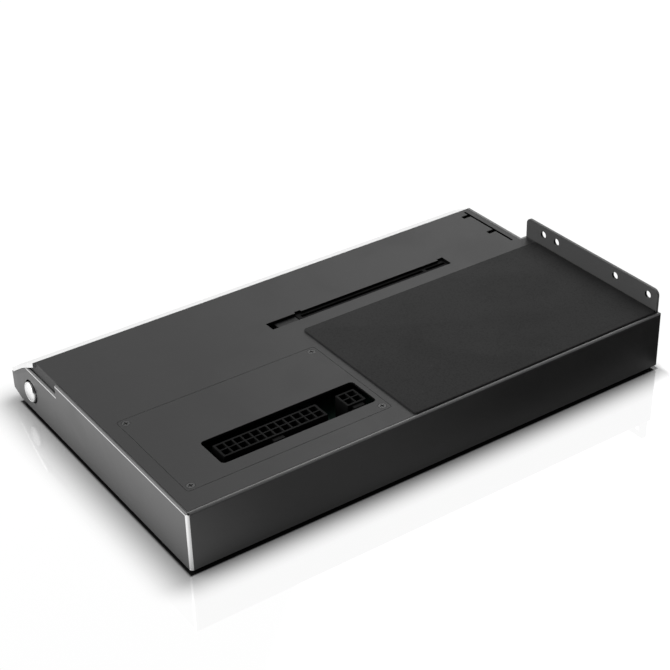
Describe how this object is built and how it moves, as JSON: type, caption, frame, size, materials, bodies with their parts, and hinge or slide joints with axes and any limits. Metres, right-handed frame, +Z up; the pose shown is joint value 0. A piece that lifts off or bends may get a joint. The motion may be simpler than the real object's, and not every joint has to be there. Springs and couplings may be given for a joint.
{
  "type": "pcie expansion chassis",
  "caption": "Low flat dock for one desktop graphics card, with a card slot, power sockets, a supply flange with a seat mat, a storage bay and a power button.",
  "frame": {"origin": "middle of the footprint box on the floor, under the feet", "axes": "+Z up, +X the end with the power button, -X the end with the supply flange, -Y the sloped front, +Y the plain back wall"},
  "size_m": [0.2578, 0.163, 0.0422],
  "materials": {
    "wall_metal": "satin",
    "base_coat": "matte",
    "foot_rubber": "matte",
    "cover_coat": "matte",
    "fascia_metal": "satin",
    "black_steel": "satin",
    "plated_steel": "satin",
    "mat_rubber": "matte",
    "board_resin": "satin",
    "brass_part": "satin",
    "socket_plastic": "satin",
    "gold_contact": "satin",
    "latch_plastic": "satin",
    "chip_resin": "matte",
    "pad_silicone": "matte",
    "sink_metal": "satin",
    "can_metal": "satin",
    "coil_ferrite": "matte",
    "button_metal": "satin",
    "lead_sleeve": "matte",
    "plug_plastic": "satin"
  },
  "bodies": {
    "chassis": {"housing_frame": "wall_metal", "base_plate": "base_coat", "rubber_feet": "foot_rubber", "top_cover": "cover_coat", "front_fascia": "fascia_metal", "socket_panel": "cover_coat", "panel_screws": "black_steel", "panel_nuts": "plated_steel", "supply_mat": "mat_rubber", "case_screws": "black_steel", "fascia_screws": "black_steel", "main_board": "board_resin", "board_standoffs": "brass_part", "board_screws": "plated_steel", "slot_housing": "socket_plastic", "slot_contacts": "gold_contact", "latch_pin": "plated_steel", "main_socket": "socket_plastic", "main_socket_pins": "gold_contact", "aux_socket": "socket_plastic", "aux_socket_pins": "gold_contact", "storage_connector": "socket_plastic", "storage_contacts": "gold_contact", "storage_standoff": "brass_part", "storage_screw": "plated_steel", "bridge_chip": "chip_resin", "thermal_pad": "pad_silicone", "heatsink": "sink_metal", "bulk_capacitors": "can_metal", "power_inductors": "coil_ferrite", "power_transistors": "chip_resin", "support_chips": "chip_resin", "link_shell": "plated_steel", "link_tongue": "socket_plastic", "usb_shell": "plated_steel", "usb_tongue": "socket_plastic", "button_guide": "socket_plastic", "button_spring": "plated_steel", "button_switch": "socket_plastic", "button_board": "board_resin", "guide_screws": "plated_steel", "button_lead": "lead_sleeve", "lead_plug": "plug_plastic"},
    "card_latch": {"slot_latch": "latch_plastic"},
    "power_button": {"button_cap": "button_metal"}
  },
  "joints": [
    {"name": "card_latch_turn", "type": "hinge", "parent": "chassis", "child": "card_latch", "pos_m": [0.0099, -0.0187, 0.0212], "axis": [0, 1, 0], "range_deg": [0, 20]},
    {"name": "power_button_press", "type": "slide", "parent": "chassis", "child": "power_button", "axis": [-1, 0, 0], "range_m": [0, 0.001], "stiffness_N_per_m": 600, "springref_m": -0.001, "deforming": ["button_spring"]}
  ]
}
